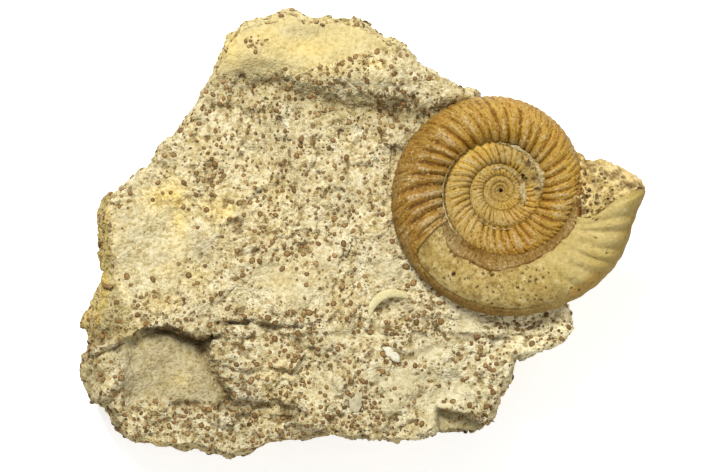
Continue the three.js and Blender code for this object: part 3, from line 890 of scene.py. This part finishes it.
def shell_material():
    """Brown calcite: darker and more orange between the ribs, worn pale on them, with fine growth lines and
    painted glints.
    """
    material, tree, tint = new_material("brown calcite shell")
    place = add_node(tree, "TexCoord").outputs["Object"]
    crest = add_node(tree, "Attribute", attribute_name="crest").outputs["Fac"]
    uv = add_node(tree, "UVMap", uv_map="along").outputs[0]
    stretched = add_node(tree, "Mapping", {"Vector": uv, "Scale": (7.0, 9.0, 1.0)}).outputs[0]
    lines = noise(tree, stretched, 1.0, 4, 0.6)
    cloud, fine = noise(tree, place, 260, 5, 0.6), noise(tree, place, 1700, 3, 0.7)
    mask = crest
    for texture, strength in ((cloud, 1.2), (fine, 0.9)):
        mask = maths(tree, "ADD", mask,
                     maths(tree, "MULTIPLY", maths(tree, "SUBTRACT", texture, 0.5), strength))
    worn, glint_colour = (tuple(paint(*display)) + (1,) for display in ((190, 168, 124), (222, 206, 160)))
    # painted glints: pale specks that stand in for sparkle of light on the calcite
    glint = maths(tree, "MULTIPLY", spread(tree, fine, 0.56, 0.68), spread(tree, cloud, 0.42, 0.6, 0.0, 0.7))
    colour = mix_colours(tree, spread(tree, lines, 0.58, 0.36, 0.0, 0.8), tint,
                         tinted(tree, tint, 0.6, 0.48, 0.22))
    groove = tinted(tree, tint, 0.4, 0.27, 0.05)
    colour = mix_colours(tree, spread(tree, mask, 0.5, 0.12, 0.0, 0.95), colour, groove)
    colour = mix_colours(tree, spread(tree, mask, 0.78, 1.2, 0.0, 0.7), colour, worn)
    colour = mix_colours(tree, glint, colour, glint_colour)
    specks = tinted(tree, colour, 0.52, 0.42, 0.22)
    colour = mix_colours(tree, spread(tree, fine, 0.49, 0.33, 0.0, 0.85), colour, specks)
    height = maths(tree, "ADD", maths(tree, "MULTIPLY", lines, 0.8), maths(tree, "MULTIPLY", fine, 0.6))
    finish_material(tree, colour, spread(tree, cloud, 0.3, 0.7, 0.5, 0.78), height, 0.00034, 0.22)
    return material


def make_shell():
    """Rings at every 1/9 of a rib on the last two whorls and wider inside them, out to the broken edge."""
    turns = np.array([0, 1, 2, 3, 4, 5, SHELL_TURNS])
    per_turn = np.array([360, 330, 220, 130, 90, 60, 50])
    steps = np.concatenate([[0], np.cumsum(np.diff(turns) * per_turn[:-1])])
    back = np.interp(np.arange(int(steps[-1]) + 1), steps, turns)[::-1]
    points, faces, angle, around = sweep(SHELL_END - 360 * back, SECTION_POINTS, shell_lift)
    crest = (0.5 + 0.5 * rib_wave(angle, around, 1.0)).ravel()
    flat, angle, outward = points[:-2], angle.ravel(), outward_share(around).ravel()
    outer = outer_radius(angle)
    inner_whorls = ease(SHELL_END - angle, 290, 390)
    cloud = rough(flat, 7, 3, 61)
    fill = in_fill(flat, angle)
    colour = blend_colours(
        (189, 151, 60),
        (0.5 * ease(flat[:, 1], 22, 30) * (1 - inner_whorls), (206, 174, 92)),
        (0.8 * inner_whorls, (226, 190, 88)),
        (0.75 * inner_whorls * ease(-flat[:, 1], -7, -2), (206, 180, 118)),
        (0.85 * ease(-flat[:, 0], -26, -10) * (1 - inner_whorls), (150, 111, 38)),
        # painted shade: darker towards the outer edge, where the whorl rounds away
        (0.5 * ease(outward, 0.72, 1.0) * (1 - inner_whorls), (168, 130, 56)),
        (0.35 * ease(cloud, 0.1, 0.7), (194, 142, 56)),
        (0.45 * ease(-cloud, 0.1, 0.7), (180, 156, 100)),
        (0.85 * fill, (176, 150, 86)),
        (0.6 * fill * ease(rough(flat, 0.9, 2, 359), 0.0, 0.5), (206, 184, 130)),
        # painted shade in the fill's pits
        (0.85 * fill * ease(lattice_noise(flat, 0.75, 357), 0.1, 0.45), (78, 56, 24)),
        # painted shade along the inner seam, where the whorl meets the one inside it
        (0.75 * ease(0.09 - outward, 0.0, 0.08), (88, 54, 16)),
        (0.5 * ease(6 - outer, 0, 3), (202, 166, 90)),
        (0.9 * ease(0.8 - outer, 0, 0.3), (60, 34, 14)),
    )
    colour = np.concatenate([colour, colour[[0, -1]]])
    crest = np.concatenate([(crest + 0.08 * inner_whorls) * (1 - fill) + 0.65 * fill, [0.5, 0.3]])
    uv = coil_uv(angle, around)
    return make_piece("ammonite_shell_ribbed", points, faces, shell_material(), colour, {"crest": crest}, uv)


shell = make_shell()
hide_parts("ammonite_shell")
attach(shell, "root")

# ------------------------------------------------------------------ the mould of the living chamber
# Lime mud that filled the last half whorl and set, laid bare where the shell has come off. It is smooth and
# olive-tan, with pinholes, and shows the broad last ribs. Rough rock still stands in the mouth.

MOULD_START = 196.0
MOULD_END = 350.5
MOULD_RINGS = 400
MOULD_SECTION = 112
MOUTH_ROCK = [(45.4, 4.4), (47, 2.4), (50.5, 1.6), (54.6, 3.4), (58.5, 7.4), (61.8, 9.7), (62.5, 11),
              (60.6, 12.9), (58.3, 14.6), (55, 15.9), (51.5, 16.9), (49.4, 16.7), (47, 18.4), (45.6, 17),
              (45.4, 10)]
MOUTH_ROCK_LEVELS = (25.5, 36.0)
MOULD_PINHOLES = 120
MOUTH_PINHOLES = 190


def sink_pinholes(points, faces, chance, sizes, rng):
    """Sinks round pits into a surface at points drawn by chance: inside each radius the depth follows a bowl.
    Also gives how deep each point lies, as a share of the largest pit."""
    normals = point_normals(points, faces[0])[: len(chance)]
    points = points[: len(chance)]
    centres = points[rng.choice(len(points), sizes[0], p=chance / chance.sum())]
    radii = uneven_sizes(*sizes, rng)
    depth = np.zeros(len(points))
    for centre, radius in zip(centres, radii):
        share = np.linalg.norm(points - centre, axis=1) / radius
        depth = np.maximum(depth, radius * np.clip(1.25 - share, 0, 1) ** 0.7)
    return points - normals * depth[:, None], depth / np.max(radii)


def make_mould():
    """The coil's own sweep, drawn in by the shell's thickness, out to the mouth, with pinholes."""
    rings = np.linspace(MOULD_START, MOULD_END, MOULD_RINGS)
    points, faces, angle, around = sweep(rings, MOULD_SECTION, lift_of_mould)
    flat, angle, outward = points[:-2], angle.ravel(), outward_share(around).ravel()
    chance = ease(flat[:, 2], COIL_LEVEL + 2, COIL_LEVEL + 6) * ease(outward, 0.1, 0.3)
    chance *= 0.12 + 0.88 * ease(angle, 218, 226) * (1 - ease(angle, 284, 312))
    chance *= 0.6 + ease(rough(flat, 4, 2, 79), -0.2, 0.5)
    sizes = (MOULD_PINHOLES, 0.2, 0.38, 0.13, 0.5)
    points[:-2], depth = sink_pinholes(points, faces, chance, sizes, np.random.default_rng(77))
    toward_mouth = ease(angle, 255, 320)
    near_mouth_edge = ease(outward, 0.74, 0.86) * ease(angle, 276, 290) * (1 - ease(angle, 308, 322))
    cloud, speckle = rough(flat, 6, 3, 83), rough(flat, 1.1, 2, 89)
    colour = blend_colours(
        (176, 152, 88),
        (0.6 * toward_mouth, (192, 172, 102)),
        (0.45 * ease(cloud, 0.0, 0.7), (200, 180, 122)),
        (0.45 * ease(-cloud, 0.0, 0.7), (158, 128, 66)),
        (0.5 * ease(-speckle, 0.25, 0.7) * (1 - toward_mouth), (120, 92, 48)),
        (0.5 * ease(speckle, 0.3, 0.8), (208, 190, 136)),
        (0.7 * ease(outward, 0.84, 0.98), (140, 112, 46)),
        (0.8 * ease(outward, 0.872, 0.888) * (1 - ease(angle, 252, 285)), (152, 116, 52)),
        # painted shade in the thin groove at the shell strip's edge
        (0.75 * hill(outward, 0, 0.8728, 0, 0.01, 1) * (1 - ease(angle, 262, 290)), (84, 60, 22)),
        (0.6 * near_mouth_edge * ease(cloud, -0.2, 0.5), (186, 138, 50)),
        (0.5 * ease(angle, 292, 306) * ease(outward, 0.7, 0.86), (150, 126, 58)),
        # painted shade along the inner seam
        (0.6 * ease(0.2 - outward, 0, 0.15), (140, 104, 54)),
        # painted shade in the pinholes, darker the deeper they go
        (ease(depth, 0.05, 0.45), (72, 50, 24)),
    )
    colour = np.concatenate([colour, colour[[0, -1]]])
    bare = np.concatenate([0.1 + 0.75 * toward_mouth, [0.5, 0.5]])
    sediment = stone_material("sediment of the mould", mottle=0.75, pale=0.5, grains=0.45, grain_size=0.5,
                              relief=0.16, specular=0.18)
    return make_piece("living_chamber_mould", points, faces, sediment, colour,
                      {"bare": bare, "pitted": 0.5 - 0.5 * bare})


def boulder(outline, levels, rows, columns, lumps, seed):
    """A lump drawn round an outline. Its rings run evenly from the middle of the top to the outline and
    back to the middle below, while the height follows the root of 1 - share^4, so it is flat with a round
    edge."""
    outline = np.array(outline)
    centre = outline.mean(0)
    turn = np.arctan2(*(outline - centre).T[::-1])
    order = np.argsort(turn)
    angle = 2 * np.pi * np.arange(columns) / columns
    radius = np.interp(angle, turn[order], np.hypot(*(outline - centre)[order].T), period=2 * np.pi)
    path = np.linspace(-1, 1, 2 * rows + 1)[1:-1]
    path, angle = np.meshgrid(path, angle, indexing="ij")
    share = 1 - abs(path) ** 1.15
    height = -np.sign(path) * np.sqrt(1 - share**4)
    middle, half = sum(levels) / 2, (levels[1] - levels[0]) / 2
    out = radius * share
    rings = [centre[0] + out * np.cos(angle), centre[1] + out * np.sin(angle), middle + half * height]
    points, faces = closed_tube(np.stack(rings, -1))
    points[-2:] = [[*centre, levels[1]], [*centre, levels[0]]]
    normals = point_normals(points, faces[0])
    normals[-2:] = [[0, 0, 1], [0, 0, -1]]
    shift = lumps * rough(points, 2.4, 4, seed) - 0.4 * lumps
    return points + normals * shift[:, None], faces, shift


def make_mouth_rock():
    """A boulder on the outline of the mouth's rock, lower at its far corner and pitted in its middle."""
    points, faces, shift = boulder(MOUTH_ROCK, MOUTH_ROCK_LEVELS, 44, 180, 0.8, 201)
    x, y = points[:, 0], points[:, 1]
    points[:, 2] -= 3.4 * ease(y, 7, 17) * ease(points[:, 2], 28, 34)
    inner = hill(x, y, 49.5, 8.5, 4.2, 5.5) + 0.08
    chance = inner * ease(points[:, 2], 30, 33)
    chance[:-2] *= np.maximum(0.05, np.linalg.norm(points[:-2, :2] - points[-1, :2], axis=1))
    sizes = (MOUTH_PINHOLES, 0.2, 0.35, 0.12, 0.42)
    points, depth = sink_pinholes(points, faces, chance, sizes, np.random.default_rng(211))
    colour = blend_colours(
        (218, 195, 132),
        (0.5 * ease(rough(points, 5, 2, 211), 0, 0.6), (218, 184, 108)),
        (0.6 * ease(x + y, 66, 72), (226, 200, 138)),
        # painted shade where the lumps sink in
        (0.8 * ease(-shift, 0.4, 0.95), (120, 92, 48)),
        # painted shade at its inner end, where it meets the whorl inside it
        (0.5 * ease(47.5 - x, 0, 2), (112, 84, 44)),
        # painted shade in the pinholes, darker the deeper they go
        (0.9 * ease(depth, 0.05, 0.45), (86, 62, 28)),
    )
    masks = {"bare": 0.7 * ease(x + 0.5 * y, 60, 68), "pitted": 0.35 + 0.6 * np.clip(inner, 0, 1)}
    rock = stone_material("rock in the mouth", mottle=0.5, pale=0.4, grains=0.7, grain_size=0.8, relief=0.35,
                          specular=0.25)
    return make_piece("mouth_rock", points, faces, rock, colour, masks)


for piece in (make_mould(), make_mouth_rock()):
    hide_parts("body_chamber_mould")
    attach(piece, "root")

# ------------------------------------------------------------------ shell and crusts along the seams
# A strip of the last whorl's shell still clings along its inner seam. Beads of pale mineral crust, lumpy and
# gritty, fill two of the seams inside it, and thin white lines of lime mark the others.

STRIP_EDGE = [  # angle, and how far up the whorl's flank the strip reaches there
    (192, 0.05), (204, 0.12), (210, 0.2), (217, 0.27), (227, 0.34), (232, 0.35), (237, 0.33), (244, 0.28),
    (253, 0.3), (258, 0.32), (262, 0.335), (268, 0.29), (276, 0.235), (286, 0.205), (296, 0.2), (303, 0.16),
    (311, 0.175), (319, 0.15), (326, 0.165), (335, 0.17), (341, 0.13), (350, 0.07), (366, 0.05),
]
BEADS = {  # each bead's colour, and its path as angle, distance from the coil's centre, and half width
    "seam_bead_outer": (
        (186, 166, 118),
        [(3, 9.1, 0.4), (10, 9.2, 0.6), (20, 9.5, 0.75), (38, 9.55, 0.55), (59, 9.8, 0.38), (75, 9.95, 0.32),
         (96, 10.3, 0.22)],
    ),
    "seam_bead_inner": (
        (168, 144, 88),
        [(-36, 5.9, 0.4), (-16, 5.2, 0.75), (8, 4.85, 0.7), (30, 4.8, 0.5), (50, 4.85, 0.4), (78, 5.2, 0.34),
         (119, 4.9, 0.2)],
    ),
    "seam_line_left": (
        (176, 154, 100), [(136, 11.95, 0.08), (180, 12.75, 0.1), (205, 13.2, 0.15), (232, 13.8, 0.25)],
    ),
    "seam_line_inner": (
        (196, 164, 112), [(222, 8.0, 0.1), (240, 8.2, 0.14), (262, 8.45, 0.14), (290, 8.8, 0.1)],
    ),
}


def make_seam_strip():
    """A thin skin on the flank up to STRIP_EDGE: a grid in angle and height over a sunken copy."""
    start, end = STRIP_EDGE[0][0], STRIP_EDGE[-1][0]
    angle, share = np.meshgrid(np.linspace(start, end, 420), np.linspace(0, 1, 19), indexing="ij")
    edge = np.interp(angle, *np.array(STRIP_EDGE).T)
    path = whorl_point(angle - lean(edge), np.arccos(2 * edge - 1), 0)
    outward = 0.012 + (edge + 0.012 * rough(path, 2.0, 3, 321) - 0.012) * share
    around = np.arccos(np.clip(2 * outward - 1, -1, 1))
    raised = ease(1 - share, 0, 0.12) * (ease(angle, start, start + 8) * ease(end - angle, 0, 10))
    uneven = 1 + 0.22 * rough(path, 1.3, 2, 324)
    lifts = (0.55 * raised * uneven - 0.42, -1.2 + 0 * angle)
    top, bottom = (whorl_point(angle - lean(outward), around, lift) for lift in lifts)
    index = np.arange(angle.size).reshape(angle.shape)
    loop = np.concatenate([index[:-1, 0], index[-1, :-1], index[:0:-1, -1], index[0, :0:-1]])
    wall = np.array([np.r_[loop, loop[0]], np.r_[loop, loop[0]] + angle.size])
    faces = [grid_faces(index)[:, ::-1], grid_faces(index + angle.size), grid_faces(wall)[:, ::-1]]
    points = np.concatenate([top.reshape(-1, 3), bottom.reshape(-1, 3)])
    cloud = rough(points, 3.5, 3, 301)
    colours = blend_colours(
        (158, 126, 66),
        (0.8 * np.tile((1 - ease(angle, 222, 246)).ravel(), 2), (164, 144, 98)),
        (0.6 * ease(cloud, 0.0, 0.6), (172, 148, 98)),
        (0.7 * ease(-cloud, 0.0, 0.6), (138, 102, 42)),
        (0.7 * np.tile(ease(share, 0.88, 1.0).ravel(), 2), (138, 92, 28)),
    )
    uv = coil_uv(np.r_[angle, angle], np.r_[around, around], 0)
    return make_piece("seam_shell", points, faces, bpy.data.materials["brown calcite shell"], colours,
                      {"crest": 0.5}, uv)


seam_strip = make_seam_strip()
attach(seam_strip, "root")


def coil_top(angle, radius):
    """Height of the ribless coil at an angle and a distance from its centre."""
    return COIL_LEVEL + coil_half_height(angle, radius)


def make_bead(name, display, path, seed):
    """A flattened, lumpy section carried along the path at the coil's height, thinning out at both ends."""
    at, distance, half_width = np.array(path, float).T
    steps = int((at[-1] - at[0]) * 2.2)
    share, around = np.meshgrid(np.linspace(0, 1, steps), 2 * np.pi * np.arange(14) / 14, indexing="ij")
    angle = at[0] + (at[-1] - at[0]) * share
    middle = np.interp(angle, at, distance)
    rim = np.maximum(coil_top(angle, middle - 0.3), coil_top(angle, middle + 0.3))
    turn = np.radians(angle)
    place = np.stack([middle * np.cos(turn), middle * np.sin(turn), rim], -1)
    place += 0.12 * rough(place, 2.5, 2, seed)[..., None]
    thick = np.interp(angle, at, half_width) * np.clip(9 * share * (1 - share), 0, 1) ** 0.5
    thick = thick * (1 + 0.5 * rough(place + around[..., None], 0.9, 3, seed + 1))
    outward = np.stack([np.cos(turn), np.sin(turn), 0 * turn], -1)
    rings = place + outward * (1.15 * thick * np.cos(around))[..., None]
    rings = rings + [*COIL_CENTRE, 0]
    rings[..., 2] += 0.1 + np.minimum(thick, 0.2 + 0.45 * thick) * np.sin(around)
    points, faces = closed_tube(rings)
    cloud = rough(points, 1.6, 3, seed + 2)
    colours = blend_colours(
        display,
        (0.6 * ease(cloud, 0.1, 0.6), (212, 196, 152)),
        (0.8 * ease(-cloud, 0.1, 0.6), (136, 108, 54)),
    )
    bead = make_piece(name, points, [part[:, ::-1] for part in faces], crust, colours,
                      {"bare": 0.3, "pitted": 0.4})
    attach(bead, "root")


crust = stone_material("seam crust", mottle=0.8, pale=0.4, grains=0.7, grain_size=0.5, relief=0.25,
                       specular=0.15)
for number, (name, (display, path)) in enumerate(BEADS.items()):
    make_bead(name, display, path, 331 + 10 * number)

# ------------------------------------------------------------------ the bivalve fragment and shell chips
# A piece of a pale bivalve shell, smooth and curved, half buried below the ammonite, and two small chips.
# The limestone holds all three.

BIVALVE_CENTRE = (6.9, -17.6)
BIVALVE_ARC = 5.15  # the radius of its middle line
BIVALVE_HALF_WIDTH = 1.02
CHIP_THICKNESS = 1.1
CHIP_TILT = (0.02, 0.08)
CHIPS = {  # each chip's outline, and its colours at the rim and on top
    "white_shell_chip": (
        [(4.1, -24.3), (5.2, -24.1), (6.9, -25.3), (8.4, -26.6), (8.3, -27.7), (7.4, -27.6), (6.2, -26.4),
         (4.9, -25.2)],
        (214, 206, 174), (226, 220, 196),
    ),
    "oval_shell_chip": (
        [(-2.4, -38.4), (-1.2, -39), (-0.2, -37.6), (0, -35.6), (-0.4, -33.6), (-1.4, -33), (-2.4, -34.4),
         (-2.8, -36.6)],
        (216, 206, 170), (178, 168, 132),
    ),
}


def shell_chip(name, outline, rim, middle, seed):
    """A thin plate over an outline, laid on the face and tilted, with one colour at its rim and one on top."""
    points, faces, _ = boulder(outline, (-CHIP_THICKNESS / 2, CHIP_THICKNESS / 2), 12, 48, 0.09, seed)
    x, y = points[:, 0] - np.mean(points[:, 0]), points[:, 1] - np.mean(points[:, 1])
    high = ease(points[:, 2], 0.1 * CHIP_THICKNESS, 0.5 * CHIP_THICKNESS)
    points[:, 2] += float(face_level(*np.mean(outline, axis=0))) + 0.1 + CHIP_TILT[0] * x + CHIP_TILT[1] * y
    tint = blend_colours(rim, (high * (0.8 + 0.5 * rough(points, 1.2, 2, seed)), middle))
    chip = make_piece(name, points, faces, pale_shell, tint, {"bare": 0.4, "pitted": 0.1})
    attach(chip, "root")


pale_shell = stone_material("pale bivalve shell", mottle=0.3, pale=0.4, grains=0.3, grain_size=0.6,
                            relief=0.08, specular=0.4)


def make_bivalve():
    """A band on an arc. Its half width is the widest times (1 - |2t - 1|^2.4)^0.6, with t from 0 to 1
    along it, so the ends are blunt. Its section is flat on top."""
    along_arc, around = np.meshgrid(np.linspace(0, 1, 90), 2 * np.pi * np.arange(24) / 24, indexing="ij")
    angle = np.radians(180 - 130 * along_arc)
    half = BIVALVE_HALF_WIDTH * (1 - abs(2 * along_arc - 1) ** 2.4) ** 0.6
    across = np.sign(np.cos(around)) * abs(np.cos(around)) ** 0.8
    dome = np.sign(np.sin(around)) * abs(np.sin(around)) ** 0.6
    ring = BIVALVE_ARC + half * across
    low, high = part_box("bivalve_fragment")
    middle = (low.z + high.z) * 500  # half of the sum, in millimetres
    z = middle + 0.75 * dome * half / BIVALVE_HALF_WIDTH + 0.2 * across - 0.3 * ease(along_arc, 0.7, 1)
    x, y = BIVALVE_CENTRE[0] + ring * np.cos(angle), BIVALVE_CENTRE[1] + ring * np.sin(angle)
    rings = np.stack([x, y, z], -1)
    points, faces = closed_tube(rings + 0.1 * rough(rings, 1.6, 3, 403)[..., None])
    tint = blend_colours(
        (222, 210, 158),
        (0.6 * ease(rough(points, 2, 2, 401), 0, 0.6), (226, 214, 166)),
        (0.5 * ease(-rough(points, 1.2, 2, 407), 0.1, 0.6), (200, 182, 124)),
    )
    faces = [part[:, ::-1] for part in faces]
    return make_piece("bivalve_shell", points, faces, pale_shell, tint, {"bare": 0.5, "pitted": 0.05})


for number, (name, (outline, rim, middle)) in enumerate(CHIPS.items()):
    shell_chip(name, outline, rim, middle, 411 + 10 * number)
bivalve = make_bivalve()
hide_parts("bivalve_fragment")
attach(bivalve, "root")

# ------------------------------------------------------------------ floor, light and camera
# A plain pale floor, a broad soft light from beyond the far edge, a weaker one opposite, and a pale sky.

MIDDLE = (-1.76, 0.11)
VIEW_WIDTH = 155.8
CAMERA_HEIGHT = 1600.0
SUBJECT_LEVEL = 24.0
FLOOR_SIZE = 6000.0


def make_floor():
    """A square that is level with the block's base, pale, and glowing a little so that shadows stay faint."""
    material = bpy.data.materials.new("pale floor")
    material.use_nodes = True
    shader = material.node_tree.nodes["Principled BSDF"]
    shader.inputs["Base Color"].default_value = (0.92, 0.92, 0.92, 1)
    shader.inputs["Roughness"].default_value = 0.9
    shader.inputs["Emission Color"].default_value = (1, 1, 1, 1)
    shader.inputs["Emission Strength"].default_value = 0.46
    corners = FLOOR_SIZE / 2 * np.array([(-1, -1, 0), (1, -1, 0), (1, 1, 0), (-1, 1, 0)])
    return make_piece("floor", corners, [[(0, 1, 2, 3)]], material)


def add_area_light(name, place, power, size):
    """A square area light that faces the specimen."""
    light = bpy.data.lights.new(name, "AREA")
    light.energy = power
    light.size = size
    lamp = bpy.data.objects.new(name, light)
    lamp.location = place
    aim = -lamp.location.copy()
    aim.z += 0.02
    lamp.rotation_euler = aim.to_track_quat("-Z", "Y").to_euler()
    bpy.context.scene.collection.objects.link(lamp)


make_floor()
add_area_light("key", (-0.18, 0.55, 0.85), 13.8, 0.3)
add_area_light("fill", (0.5, -0.5, 0.9), 4.2, 0.8)
world = bpy.data.worlds.new("sky")
bpy.context.scene.world = world
world.use_nodes = True
world.node_tree.nodes["Background"].inputs["Color"].default_value = (1, 1, 1, 1)
world.node_tree.nodes["Background"].inputs["Strength"].default_value = 0.38
bpy.context.scene.view_settings.view_transform = "Standard"

lens = bpy.data.cameras.new("camera")
lens.lens = lens.sensor_width * (CAMERA_HEIGHT - SUBJECT_LEVEL) / VIEW_WIDTH
lens.clip_end = 10.0
camera = bpy.data.objects.new("camera", lens)
camera.location = (MIDDLE[0] * 0.001, MIDDLE[1] * 0.001, CAMERA_HEIGHT * 0.001)
bpy.context.scene.collection.objects.link(camera)
bpy.context.scene.camera = camera
